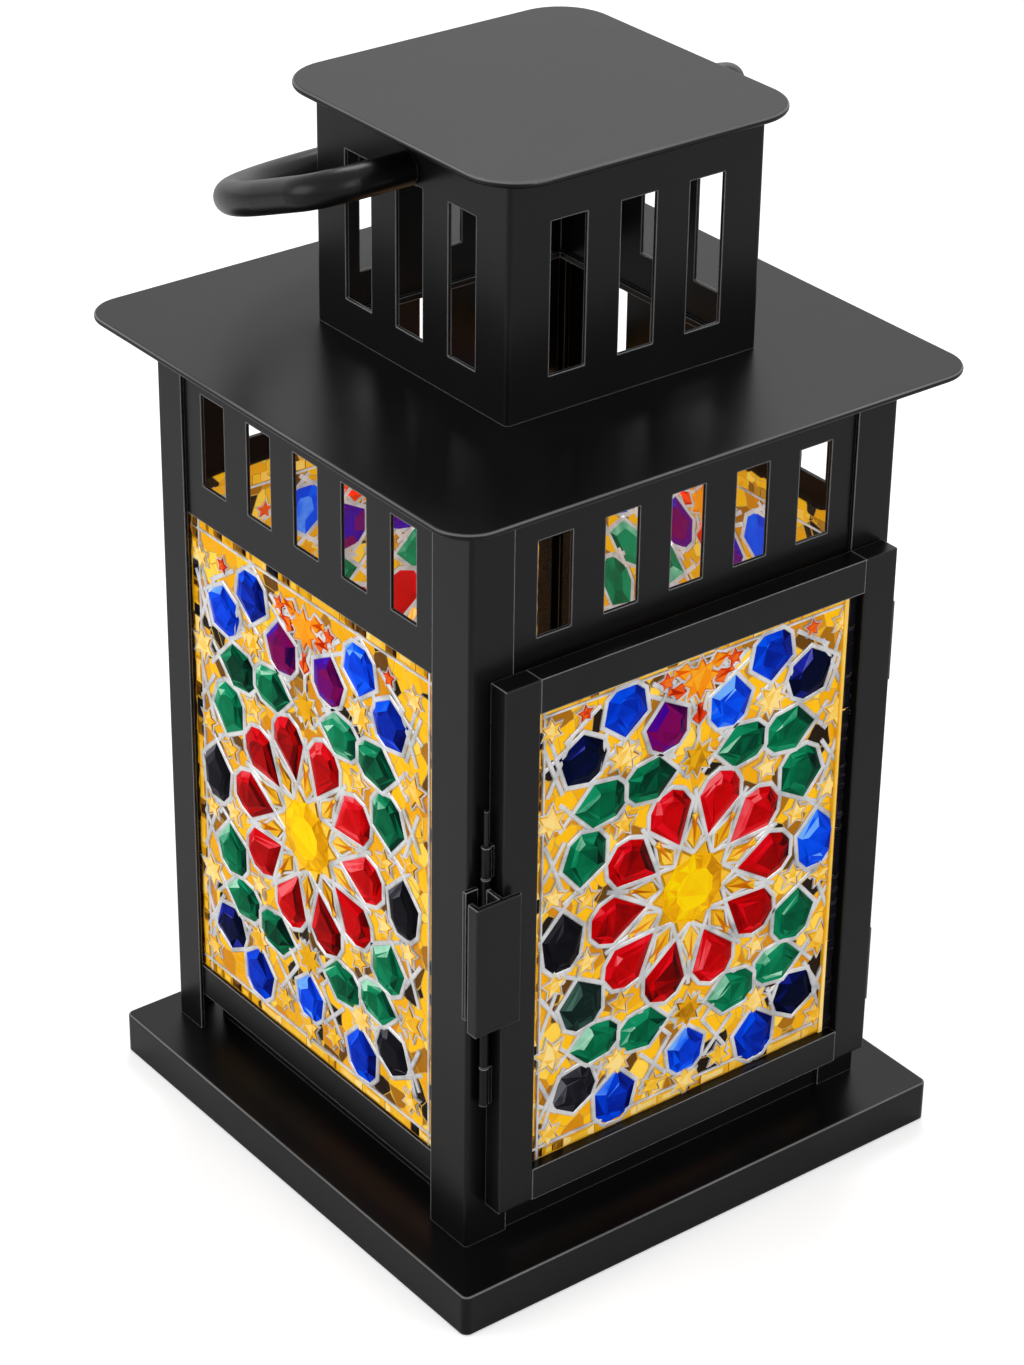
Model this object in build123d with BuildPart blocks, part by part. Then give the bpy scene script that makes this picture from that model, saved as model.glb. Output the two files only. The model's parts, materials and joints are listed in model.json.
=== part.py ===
from build123d import *
from math import cos, radians, sin
import os

os.makedirs("parts", exist_ok=True)

# Square candle lantern of black sheet steel with jewelled mosaic panes, in millimetres.
# +Z is up, the door faces -Y, and the lantern stands on z = 0 with its outline centred on the origin.

# Overall and main plates
total_h = 280.0
chimney_h = 60.7
plinth_w = 153.0
plinth_h = 11.5
plinth_sheet = 1.2
plinth_corner = 2.0
plinth_edge = 0.7
roof_over = 13.45
roof_sheet = 1.6
roof_corner = 10.0
cap_over = 7.7
cap_sheet = 1.6
cap_corner = 14.0
plate_edge = 0.7

# House: four angle posts, set back on the plinth to leave the door its depth
house_inset = 12.2
set_back = 4.0
post_sheet = 1.0
post_bend = 0.9
front_leg_face = 12.5
front_leg_side = 14.5
back_leg = 10.5

# Friezes, bottom rails and sill: sheets welded behind the post legs
sheet = 1.0
sheet_lap = 6.5
frieze_h = 49.1
frieze_slots = 5
slot_w = 10.1
slot_margin = 7.35
slot_rise = 10.2
slot_h = 25.0
rail_z = 22.5
rail_h = 9.0
sill_h = 10.3
tray_margin = 8.3
tray_h = 10.5
tray_sheet = 1.0

# Chimney
chimney_w = 75.6
chimney_shift = 3.5
chimney_sheet = 1.0
chimney_bend = 1.2
chimney_slots = 3
chimney_slot_w = 10.6
chimney_slot_margin = 12.1
chimney_slot_rise = 9.7
chimney_slot_drop = 12.6
chimney_ledge = 1.0

# Bail
bail_d = 8.4
bail_reach = 78.0
bail_corner = 54.0
bail_elbow = 9.0
bail_droop = 21.5
bail_neck_d = 5.0
bail_pivot_below_cap = 9.1
bail_side_clear = 13.3
bail_end_clear = 0.4
neck_clear = 0.08
washer_d = 9.6
washer_t = 1.0
neck_tail = 0.5

# Door
door_z = 23.0
door_top_lap = 3.8
door_side_inset = 2.7
latch_room = 5.7
door_t = 5.8
door_gap = 0.4
door_sheet = 1.0
door_edge = 0.45
stile_w = 10.2
door_rail_w = 9.1

# Panes and mosaic
pane_t = 1.4
pane_lap = 4.0
came_t = 1.0
came_lap = 3.0
came_side_lap = 0.8
door_recess = 3.0
gem_h = 1.5
gem_slope = 35.0
gem_clear = 0.1
clip_t = 0.4
clip_h = 8.0
clip_base = 3.0
clip_gap = 0.2
clip_rise = 23.5
clip_drop = 27.0
back_clip_lift = 12.0

# Rosette: a ten-pointed star, ten kites in its notches and ten petals on its points.
# The layout is drawn for a window of this size, and follows the door's window when that changes.
drawn_w = 99.8
drawn_h = 129.6
rosette_drop = 2.3
rosette_shift = {"door": (0.7, -0.7), "left": (-2.6, 1.6)}
folds = 10
star_tip_r = 13.4
star_notch_r = 9.4
kite_r = (11.2, 14.9, 19.6)
kite_half_w = 2.3
petal_r = (14.9, 24.8, 29.2, 31.4)
petal_half_w = (0.0, 6.5, 4.9, 2.0)

# Gems around the rosette, right half: u, v from the rosette's centre, length, width, turn
side_gems = (
    (13.8, 35.9, 14.6, 11.2, 180.0),
    (30.2, 34.8, 14.8, 11.6, 0.0),
    (34.2, 20.4, 14.2, 12.8, -80.0),
    (40.5, 0.0, 15.8, 12.0, 90.0),
    (34.2, -20.4, 14.0, 12.8, 80.0),
    (30.2, -33.8, 14.4, 11.0, 0.0),
    (13.8, -36.2, 14.6, 11.2, 180.0),
    (9.9, 49.8, 13.2, 12.4, 80.0),
    (36.2, 49.0, 13.8, 12.8, 20.0),
    (22.8, 57.4, 13.2, 12.6, -90.0),
    (36.6, -45.8, 13.2, 12.4, -20.0),
    (22.8, -52.4, 14.6, 12.4, 95.0),
)
middle_gems = ((0.0, -47.8, 12.8, 11.4, 90.0),)

# Hinges on the right post's side, behind its corner; the door's leaf is cranked round to them
hinge_end = 15.0
hinge_h = 22.0
hinge_barrel_d = 2.4
hinge_pin_d = 1.2
hinge_leaf = 0.6
hinge_leaf_w = 8.0
hinge_back = 2.9
hinge_side_clear = 0.4
hinge_clear = 0.06
hinge_gap = 0.3
hinge_head = 0.8

# Latch on the door's left stile, and its strike on the post
latch_barrel_d = 2.4
latch_pin_d = 1.2
latch_clear = 0.06
latch_axis_in = 2.0
latch_axis_back = 1.5
latch_low_knuckle = (-42.1, -31.2)
latch_high_knuckle = (23.0, 31.4)
latch_gap = 0.3
latch_pin_end = 41.1
tab_low = -15.9
tab_h = 36.0
tab_left = 7.8
tab_right = 5.4
tab_sheet = 1.2
tab_lift = 1.6
tab_lip = 2.4
tab_web = 1.0
strike_w = 3.6
strike_t = 1.2
strike_over = 1.6

# Derived sizes
body_w = plinth_w - 2 * house_inset
roof_w = body_w + 2 * roof_over
cap_w = chimney_w + 2 * cap_over
tray_w = body_w - 2 * tray_margin
door_w = body_w - door_side_inset - latch_room
slot_pitch = (body_w - 2 * (front_leg_face + slot_margin) - slot_w) / (frieze_slots - 1)
chimney_slot_pitch = (chimney_w - 2 * chimney_slot_margin - chimney_slot_w) / (chimney_slots - 1)
chimney_slot_h = chimney_h - chimney_slot_rise - chimney_slot_drop

# Derived places
plinth_y = -((roof_w - plinth_w) / 2 + set_back) / 2
house_y = plinth_y + set_back
half = body_w / 2
front_y = house_y - half
cap_z = total_h - cap_sheet
roof_top = cap_z - chimney_h
roof_z = roof_top - roof_sheet
frieze_z = roof_z - frieze_h
slot_z = frieze_z + slot_rise
chimney_slot_z = roof_top + chimney_slot_rise
chimney_half = chimney_w / 2
bail_z = cap_z - bail_pivot_below_cap
bail_half = cap_w / 2 + bail_side_clear + bail_d / 2
door_top = frieze_z + door_top_lap
door_mid = (door_z + door_top) / 2
door_back = front_y - door_gap
door_front = door_back - door_t
door_right = half - door_side_inset
door_left = door_right - door_w
window_left = door_left + stile_w
window_right = door_right - stile_w
window_low = door_z + door_rail_w
window_high = door_top - door_rail_w
mosaic_scale = min((window_right - window_left) / drawn_w, (window_high - window_low) / drawn_h)
rosette_z = (window_low + window_high) / 2 - rosette_drop * mosaic_scale
clip_zs = (rail_z + rail_h + clip_rise, frieze_z - clip_drop)
hinge_zs = (door_z + hinge_end, door_top - hinge_end - hinge_h)
hinge_x = half + hinge_barrel_d / 2 + hinge_side_clear
hinge_y = front_y + hinge_back
latch_x = door_left - latch_axis_in
latch_y = door_back - latch_axis_back
tab_back = door_front - tab_lift
tab_z = door_mid + tab_low

# One plane per face of the house: u to the right seen from outside, v up, normal outward
faces = {
    "front": Plane((0, front_y, 0), (1, 0, 0), (0, -1, 0)),
    "right": Plane((half, house_y, 0), (0, 1, 0), (1, 0, 0)),
    "back": Plane((0, house_y + half, 0), (-1, 0, 0), (0, 1, 0)),
    "left": Plane((-half, house_y, 0), (0, -1, 0), (-1, 0, 0)),
}
# Width of the post leg at the low-u and high-u end of each face
legs = {
    "front": (front_leg_face, front_leg_face),
    "right": (front_leg_side, back_leg),
    "back": (back_leg, back_leg),
    "left": (back_leg, front_leg_side),
}


def save(builder, name):
    builder.part.label = name
    export_step(builder.part, f"parts/{name}.step")


def span(low, high):
    """Centre and length of a run from low to high."""
    return (low + high) / 2, high - low


def block(x, y, z, mode=Mode.ADD):
    """A box given by its two limits on each axis."""
    (cx, lx), (cy, ly), (cz, lz) = span(*x), span(*y), span(*z)
    with Locations((cx, cy, cz)):
        return Box(lx, ly, lz, mode=mode)


def window(face):
    """Left and right edge of the opening between the post legs of a face."""
    low, high = legs[face]
    return -half + low, half - high


def polar(r, angle):
    return (r * cos(radians(angle)), r * sin(radians(angle)))


def placed(points, u, v, turn):
    """Outline points turned about their own origin and set at u, v."""
    c, s = cos(radians(turn)), sin(radians(turn))
    return [(u + x * c - y * s, v + x * s + y * c) for x, y in points]


def both_sides(rows):
    """Points (along, half width) from a tip to a blunt end, closed round the axis."""
    upper = [(x, w) for x, w in rows if w > 0]
    lower = [(x, -w) for x, w in reversed(rows)]
    return upper + lower


def star_outline():
    step = 360 / folds
    points = []
    for i in range(folds):
        points.append(polar(star_tip_r, i * step))
        points.append(polar(star_notch_r, (i + 0.5) * step))
    return points


def kite_outline():
    inner, middle, outer = kite_r
    return [(inner, 0), (middle, -kite_half_w), (outer, 0), (middle, kite_half_w)]


def gem_outline(length, width):
    """A cut gem with its tip at +x."""
    rows = [(length / 2, 0), (0.12 * length, width / 2), (-0.32 * length, 0.42 * width),
            (-length / 2, 0.2 * width)]
    return both_sides(rows)


def mosaic_outlines():
    """Every gem of one panel, about the rosette's centre, at the size drawn."""
    step = 360 / folds
    petal = both_sides(list(zip(petal_r, petal_half_w)))
    outlines = [star_outline()]
    for i in range(folds):
        outlines.append(placed(petal, 0, 0, i * step))
        outlines.append(placed(kite_outline(), 0, 0, (i + 0.5) * step))
    for u, v, length, width, turn in side_gems:
        outlines.append(placed(gem_outline(length, width), u, v, turn))
        outlines.append(placed(gem_outline(length, width), -u, v, 180 - turn))
    for u, v, length, width, turn in middle_gems:
        outlines.append(placed(gem_outline(length, width), u, v, turn))
    return outlines


def glaze(name, plane, low_u, high_u, low_v, high_v, side_lap):
    """Pane, came sheet and gems of one window; the plane is the came sheet's outer face."""
    cu, wu = span(low_u, high_u)
    cv, wv = span(low_v, high_v)
    shift_u, shift_v = rosette_shift.get(name, (0, 0))
    centre = (cu + mosaic_scale * shift_u, rosette_z + mosaic_scale * shift_v)
    outlines = [[(mosaic_scale * u, mosaic_scale * v) for u, v in outline] for outline in mosaic_outlines()]
    with BuildPart() as pane:
        with BuildSketch(plane.offset(-came_t)):
            with Locations((cu, cv)):
                Rectangle(wu + 2 * pane_lap, wv + 2 * pane_lap)
        extrude(amount=-pane_t)
    save(pane, f"{name}_pane")
    with BuildPart() as cames:
        with BuildSketch(plane):
            with Locations((cu, cv)):
                Rectangle(wu + 2 * side_lap, wv + 2 * came_lap)
            with Locations(centre):
                for outline in outlines:
                    Polygon(*outline, align=None, mode=Mode.SUBTRACT)
        extrude(amount=-came_t)
    save(cames, f"{name}_cames")
    with BuildPart() as gems:
        with BuildSketch(plane.offset(-came_t)):
            with Locations(centre):
                for outline in outlines:
                    Polygon(*outline, align=None)
            offset(amount=-gem_clear, kind=Kind.INTERSECTION)
        extrude(amount=gem_h, taper=gem_slope)
    save(gems, f"{name}_gems")


# Plinth and floor tray
with BuildPart() as plinth:
    with BuildSketch():
        with Locations((0, plinth_y)):
            RectangleRounded(plinth_w, plinth_w, plinth_corner)
    extrude(amount=plinth_h)
    fillet(plinth.faces().sort_by(Axis.Z)[-1].edges(), plinth_edge)
    with BuildSketch():
        with Locations((0, plinth_y)):
            inner_w = plinth_w - 2 * plinth_sheet
            RectangleRounded(inner_w, inner_w, plinth_corner - plinth_sheet)
    extrude(amount=plinth_h - plinth_sheet, mode=Mode.SUBTRACT)
save(plinth, "plinth")

with BuildPart() as floor_tray:
    tray_x = (-tray_w / 2, tray_w / 2)
    tray_y = (house_y - tray_w / 2, house_y + tray_w / 2)
    block(tray_x, tray_y, (plinth_h, plinth_h + tray_h))
    inside_x = (tray_x[0] + tray_sheet, tray_x[1] - tray_sheet)
    inside_y = (tray_y[0] + tray_sheet, tray_y[1] - tray_sheet)
    block(inside_x, inside_y, (plinth_h, plinth_h + tray_h - tray_sheet), Mode.SUBTRACT)
save(floor_tray, "floor_tray")

# Posts: folded angles from the plinth to the roof
for name, sx, sy, leg_x, leg_y in (
    ("post_front_left", -1, -1, front_leg_face, front_leg_side),
    ("post_front_right", 1, -1, front_leg_face, front_leg_side),
    ("post_back_left", -1, 1, back_leg, back_leg),
    ("post_back_right", 1, 1, back_leg, back_leg),
):
    with BuildPart() as post:
        with BuildSketch(Plane.XY.offset(plinth_h)) as section:
            corner = (sx * half, house_y + sy * half)
            with Locations(corner):
                Polygon(
                    (0, 0), (-sx * leg_x, 0), (-sx * leg_x, -sy * post_sheet),
                    (-sx * post_sheet, -sy * post_sheet), (-sx * post_sheet, -sy * leg_y),
                    (0, -sy * leg_y), align=None)
            bend = section.vertices().sort_by_distance((*corner, plinth_h))[0]
            fillet(bend, post_bend)
        extrude(amount=roof_z - plinth_h)
    save(post, name)

# Friezes, bottom rails and sill, behind the post legs
for face, plane in faces.items():
    low, high = window(face)
    centre, width = span(low, high)
    sheet_plane = plane.offset(-post_sheet)
    with BuildPart() as frieze:
        with BuildSketch(sheet_plane):
            v, h = span(frieze_z, roof_z)
            with Locations((centre, v)):
                Rectangle(width + 2 * sheet_lap, h)
            with Locations((centre, slot_z + slot_h / 2)):
                with GridLocations(slot_pitch, 1, frieze_slots, 1):
                    Rectangle(slot_w, slot_h, mode=Mode.SUBTRACT)
        extrude(amount=-sheet)
    save(frieze, f"frieze_{face}")
    with BuildPart() as rail:
        with BuildSketch(sheet_plane):
            if face == "front":
                v, h = span(plinth_h, plinth_h + sill_h)
            else:
                v, h = span(rail_z, rail_z + rail_h)
            with Locations((centre, v)):
                Rectangle(width + 2 * sheet_lap, h)
        extrude(amount=-sheet)
    save(rail, "front_sill" if face == "front" else f"rail_{face}")
    if face != "front":
        glaze(face, sheet_plane.offset(-sheet), low, high, rail_z + rail_h, frieze_z, came_side_lap)

# Clips of the fixed panes: a base on the post leg and a finger behind the pane
with BuildPart() as pane_clips:
    pane_back = post_sheet + sheet + came_t + pane_t
    for face, lift in (("right", 0), ("back", back_clip_lift), ("left", 0)):
        low, high = window(face)
        for edge, way in ((low, -1), (high, 1)):
            root = edge + way * (pane_lap + clip_gap)
            end = root + way * clip_base
            for z in clip_zs:
                with BuildSketch(faces[face].offset(-post_sheet)):
                    with Locations(((root + end) / 2, z + lift)):
                        Rectangle(clip_base, clip_h)
                extrude(amount=-(pane_back - post_sheet + clip_t))
                with BuildSketch(faces[face].offset(-pane_back)):
                    with Locations(((edge + end) / 2, z + lift)):
                        Rectangle(abs(end - edge), clip_h)
                extrude(amount=-clip_t)
save(pane_clips, "pane_clips")

# Roof, chimney and cap
chimney_at = (chimney_shift, house_y)
with BuildPart() as roof:
    with BuildSketch(Plane.XY.offset(roof_z)):
        with Locations((0, house_y)):
            RectangleRounded(roof_w, roof_w, roof_corner)
    extrude(amount=roof_sheet)
    rims = roof.faces().sort_by(Axis.Z)
    fillet(rims[0].edges() + rims[-1].edges(), plate_edge)
    with BuildSketch(Plane.XY.offset(roof_z)):
        with Locations(chimney_at):
            mouth = chimney_w - 2 * (chimney_sheet + chimney_ledge)
            Rectangle(mouth, mouth)
    extrude(amount=roof_sheet, mode=Mode.SUBTRACT)
save(roof, "roof")

with BuildPart() as chimney:
    with BuildSketch(Plane.XY.offset(roof_top)):
        with Locations(chimney_at):
            RectangleRounded(chimney_w, chimney_w, chimney_bend)
            bore = chimney_w - 2 * chimney_sheet
            Rectangle(bore, bore, mode=Mode.SUBTRACT)
    extrude(amount=cap_z - roof_top)
    slot_mid = chimney_slot_z + chimney_slot_h / 2
    for across in (Plane.YZ.offset(chimney_shift), Plane.XZ.offset(-house_y)):
        middle = house_y if across.z_dir.X else chimney_shift
        with BuildSketch(across):
            with Locations((middle, slot_mid)):
                with GridLocations(chimney_slot_pitch, 1, chimney_slots, 1):
                    Rectangle(chimney_slot_w, chimney_slot_h)
        extrude(amount=chimney_w, both=True, mode=Mode.SUBTRACT)
    with Locations((chimney_shift, house_y, bail_z)):
        Cylinder(bail_neck_d / 2 + neck_clear, 2 * chimney_w, rotation=(0, 90, 0), mode=Mode.SUBTRACT)
save(chimney, "chimney")

with BuildPart() as cap:
    with BuildSketch(Plane.XY.offset(cap_z)):
        with Locations(chimney_at):
            RectangleRounded(cap_w, cap_w, cap_corner)
    extrude(amount=cap_sheet)
    rims = cap.faces().sort_by(Axis.Z)
    fillet(rims[0].edges() + rims[-1].edges(), plate_edge)
save(cap, "cap")

# Bail: a round rod bent to a U, with a neck at each end that turns in the chimney's wall
bail_plane = Plane(
    (chimney_shift, house_y, bail_z), (1, 0, 0),
    (0, sin(radians(bail_droop)), cos(radians(bail_droop))))
shoulder = chimney_half + bail_end_clear
neck_len = bail_end_clear + chimney_sheet + bail_end_clear + washer_t + neck_tail
with BuildPart() as bail:
    with BuildLine(bail_plane) as path:
        FilletPolyline(
            (-shoulder, 0), (-bail_half, 0), (-bail_half, bail_reach), (bail_half, bail_reach),
            (bail_half, 0), (shoulder, 0), radius=(bail_elbow, bail_corner, bail_corner, bail_elbow))
    rod = path.wire()
    with BuildSketch(Plane(rod @ 0, z_dir=rod % 0)):
        Circle(bail_d / 2)
    sweep(path=rod)
    for way in (-1, 1):
        with Locations((chimney_shift + way * (shoulder - neck_len / 2), house_y, bail_z)):
            Cylinder(bail_neck_d / 2, neck_len, rotation=(0, 90, 0))
save(bail, "bail")

with BuildPart() as bail_washers:
    inner_face = chimney_half - chimney_sheet - bail_end_clear
    for way in (-1, 1):
        with Locations((chimney_shift + way * (inner_face - washer_t / 2), house_y, bail_z)):
            Cylinder(washer_d / 2, washer_t, rotation=(0, 90, 0))
            Cylinder(bail_neck_d / 2, washer_t, rotation=(0, 90, 0), mode=Mode.SUBTRACT)
save(bail_washers, "bail_washers")

# Door: two stiles with closed ends, and two rails between them, all folded channels
door_y = (door_front, door_back)
for name, outer, way in (("door_stile_left", door_left, 1), ("door_stile_right", door_right, -1)):
    with BuildPart() as stile:
        inner = outer + way * stile_w
        block(sorted((outer, inner)), door_y, (door_z, door_top))
        front_edges = stile.faces().sort_by(Axis.Y)[0].edges()
        fillet(front_edges, door_edge)
        hollow = sorted((outer + way * door_sheet, inner - way * door_sheet))
        ends = (door_z + door_sheet, door_top - door_sheet)
        block(hollow, (door_front + door_sheet, door_back), ends, Mode.SUBTRACT)
        rebate = sorted((inner - way * door_sheet, inner))
        block(rebate, (door_front + door_recess, door_back), ends, Mode.SUBTRACT)
    save(stile, name)

for name, outer, way in (("door_rail_bottom", door_z, 1), ("door_rail_top", door_top, -1)):
    with BuildPart() as door_rail:
        inner = outer + way * door_rail_w
        rail_x = (window_left, window_right)
        block(rail_x, door_y, sorted((outer, inner)))
        block(rail_x, (door_front + door_sheet, door_back),
              sorted((outer + way * door_sheet, inner - way * door_sheet)), Mode.SUBTRACT)
        block(rail_x, (door_front + door_recess, door_back),
              sorted((inner - way * door_sheet, inner)), Mode.SUBTRACT)
    save(door_rail, name)

door_plane = faces["front"].offset(front_y - door_front - door_recess)
glaze("door", door_plane, window_left, window_right, window_low, window_high, came_lap)

with BuildPart() as door_clips:
    door_pane_back = door_front + door_recess + came_t + pane_t
    for outer, inner, way in ((door_left, window_left, 1), (door_right, window_right, -1)):
        for z in clip_zs:
            block(sorted((outer + way * door_sheet, inner)), (door_pane_back, door_pane_back + clip_t),
                  (z - clip_h / 2, z + clip_h / 2))
save(door_clips, "door_clips")

# Hinges: three knuckles each, the middle one on the door
third = hinge_h / 3
barrel_r = hinge_barrel_d / 2
with BuildPart() as hinge_post_leaves:
    leaf_x = (half, half + hinge_leaf)
    leaf_y = hinge_y + barrel_r + hinge_gap
    for z in hinge_zs:
        block(leaf_x, (leaf_y, hinge_y + hinge_leaf_w), (z, z + hinge_h))
        for low, high in ((z, z + third), (z + 2 * third, z + hinge_h)):
            block(leaf_x, (hinge_y, leaf_y), (low, high))
            with Locations((hinge_x, hinge_y, (low + high) / 2)):
                Cylinder(barrel_r, high - low)
                Cylinder(hinge_pin_d / 2, high - low, mode=Mode.SUBTRACT)
save(hinge_post_leaves, "hinge_post_leaves")

with BuildPart() as hinge_door_leaves:
    crank_x = hinge_x - barrel_r
    crank_y = (door_back - hinge_gap - hinge_leaf, door_back - hinge_gap)
    for z in hinge_zs:
        block((door_right, door_right + hinge_leaf), (door_front + door_edge, crank_y[1]), (z, z + hinge_h))
        low, high = z + third + hinge_gap, z + 2 * third - hinge_gap
        block((door_right, crank_x + hinge_leaf), crank_y, (low, high))
        block((crank_x, crank_x + hinge_leaf), (crank_y[0], hinge_y), (low, high))
        with Locations((hinge_x, hinge_y, (low + high) / 2)):
            Cylinder(barrel_r, high - low)
            Cylinder(hinge_pin_d / 2 + hinge_clear, high - low, mode=Mode.SUBTRACT)
save(hinge_door_leaves, "hinge_door_leaves")

with BuildPart() as hinge_pins:
    for z in hinge_zs:
        with Locations((hinge_x, hinge_y, z + hinge_h / 2)):
            Cylinder(hinge_pin_d / 2, hinge_h)
        with Locations((hinge_x, hinge_y, z + hinge_h + hinge_head / 2)):
            Cylinder(barrel_r, hinge_head)
save(hinge_pins, "hinge_pins")

# Latch: a tab that rocks on an upright pin carried by two knuckles on the door's left stile
latch_r = latch_barrel_d / 2
low_end, low_joint = (door_mid + z for z in latch_low_knuckle)
high_joint, high_end = (door_mid + z for z in latch_high_knuckle)
latch_pin_top = door_mid + latch_pin_end
with BuildPart() as latch_knuckles:
    for low, high in ((low_end, low_joint), (high_joint, high_end)):
        block((latch_x, door_left), (latch_y - latch_r / 2, latch_y + latch_r / 2), (low, high))
        with Locations((latch_x, latch_y, (low + high) / 2)):
            Cylinder(latch_r, high - low)
            Cylinder(latch_pin_d / 2, high - low, mode=Mode.SUBTRACT)
save(latch_knuckles, "latch_knuckles")

with BuildPart() as latch_pin:
    with Locations((latch_x, latch_y, (low_end + latch_pin_top) / 2)):
        Cylinder(latch_pin_d / 2, latch_pin_top - low_end)
save(latch_pin, "latch_pin")

with BuildPart() as latch_tab:
    tab_y = (tab_back - tab_sheet, tab_back)
    tab_run = (tab_z, tab_z + tab_h)
    lip_x = (latch_x - tab_left, latch_x - tab_left + tab_sheet)
    block((lip_x[0], latch_x + tab_right), tab_y, tab_run)
    block(lip_x, (tab_back, tab_back + tab_lip), tab_run)
    outside = latch_tab.faces().sort_by(Axis.Y)[0].edges()
    fillet(outside, door_edge)
    block((latch_x - tab_web / 2, latch_x + tab_web / 2), (tab_back, latch_y), tab_run)
    barrel_low, barrel_high = low_joint + latch_gap, high_joint - latch_gap
    with Locations((latch_x, latch_y, (barrel_low + barrel_high) / 2)):
        Cylinder(latch_r, barrel_high - barrel_low)
        Cylinder(latch_pin_d / 2 + latch_clear, barrel_high - barrel_low, mode=Mode.SUBTRACT)
save(latch_tab, "latch_tab")

with BuildPart() as strike:
    strike_x = (-half - strike_over, -half - strike_over + strike_w)
    block(strike_x, (front_y - strike_t, front_y), (tab_z, tab_z + tab_h))
save(strike, "strike")
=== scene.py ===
import json
import math
import random
import bmesh
import bpy
from mathutils import Matrix, Vector


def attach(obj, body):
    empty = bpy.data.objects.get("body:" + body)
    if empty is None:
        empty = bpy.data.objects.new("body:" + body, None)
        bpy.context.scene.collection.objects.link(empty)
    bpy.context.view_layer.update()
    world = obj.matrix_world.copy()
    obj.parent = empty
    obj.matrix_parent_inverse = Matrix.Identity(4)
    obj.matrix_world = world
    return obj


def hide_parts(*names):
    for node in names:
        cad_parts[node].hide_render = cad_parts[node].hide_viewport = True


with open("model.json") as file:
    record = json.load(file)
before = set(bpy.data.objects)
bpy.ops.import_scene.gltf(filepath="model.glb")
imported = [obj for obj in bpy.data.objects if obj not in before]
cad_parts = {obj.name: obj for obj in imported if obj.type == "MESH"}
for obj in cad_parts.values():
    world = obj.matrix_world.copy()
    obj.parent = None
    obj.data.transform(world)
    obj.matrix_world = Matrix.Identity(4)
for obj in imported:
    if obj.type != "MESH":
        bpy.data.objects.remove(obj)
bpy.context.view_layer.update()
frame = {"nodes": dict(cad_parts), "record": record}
nodes = frame["nodes"]
MM = 0.001
scene = bpy.context.scene
scene.view_settings.view_transform = "Standard"


# Finishes

def finish(name):
    """A new node material, with its tree, its shader and its object coordinates."""
    mat = bpy.data.materials.new(name)
    mat.use_nodes = True
    tree = mat.node_tree
    shader = tree.nodes["Principled BSDF"]
    place = tree.nodes.new("ShaderNodeTexCoord").outputs["Object"]
    return mat, tree, shader, place


def node(tree, kind, **settings):
    made = tree.nodes.new("ShaderNode" + kind)
    for key, value in settings.items():
        setattr(made, key, value)
    return made


def reckon(tree, operation, first, second):
    """A Math node of two values, the second of which may be a plain number."""
    made = node(tree, "Math", operation=operation)
    tree.links.new(first, made.inputs[0])
    if isinstance(second, float):
        made.inputs[1].default_value = second
    else:
        tree.links.new(second, made.inputs[1])
    return made.outputs[0]


def blended(tree, factor, first, second):
    """From the first colour, which is linked, to the second, which is plain."""
    made = node(tree, "Mix", data_type="RGBA")
    tree.links.new(factor, made.inputs["Factor"])
    tree.links.new(first, made.inputs["A"])
    made.inputs["B"].default_value = (*second, 1.0)
    return made.outputs["Result"]


def grain(tree, place, scale, detail=2.0, roughness=0.5):
    made = node(tree, "TexNoise")
    made.inputs["Scale"].default_value = scale
    made.inputs["Detail"].default_value = detail
    made.inputs["Roughness"].default_value = roughness
    tree.links.new(place, made.inputs["Vector"])
    return made.outputs["Fac"]


def cells(tree, place, scale, feature):
    made = node(tree, "TexVoronoi", feature=feature)
    made.inputs["Scale"].default_value = scale
    tree.links.new(place, made.inputs["Vector"])
    return made.outputs


def ramp(tree, value, stops, interpolation="LINEAR"):
    made = node(tree, "ValToRGB")
    band = made.color_ramp
    band.interpolation = interpolation
    while len(band.elements) < len(stops):
        band.elements.new(0.5)
    for element, (at, colour) in zip(band.elements, stops):
        element.position = at
        element.color = (*colour, 1.0)
    tree.links.new(value, made.inputs["Fac"])
    return made.outputs["Color"]


def spread(tree, value, low, high):
    made = node(tree, "MapRange")
    made.inputs["To Min"].default_value = low
    made.inputs["To Max"].default_value = high
    tree.links.new(value, made.inputs["Value"])
    return made.outputs["Result"]


def relief(tree, height, shader, strength, depth, over=None):
    made = node(tree, "Bump")
    if over:
        tree.links.new(over, made.inputs["Normal"])
    made.inputs["Strength"].default_value = strength
    made.inputs["Distance"].default_value = depth * MM
    tree.links.new(height, made.inputs["Height"])
    tree.links.new(made.outputs["Normal"], shader.inputs["Normal"])


off, on = (0.0, 0.0, 0.0), (1.0, 1.0, 1.0)


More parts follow.
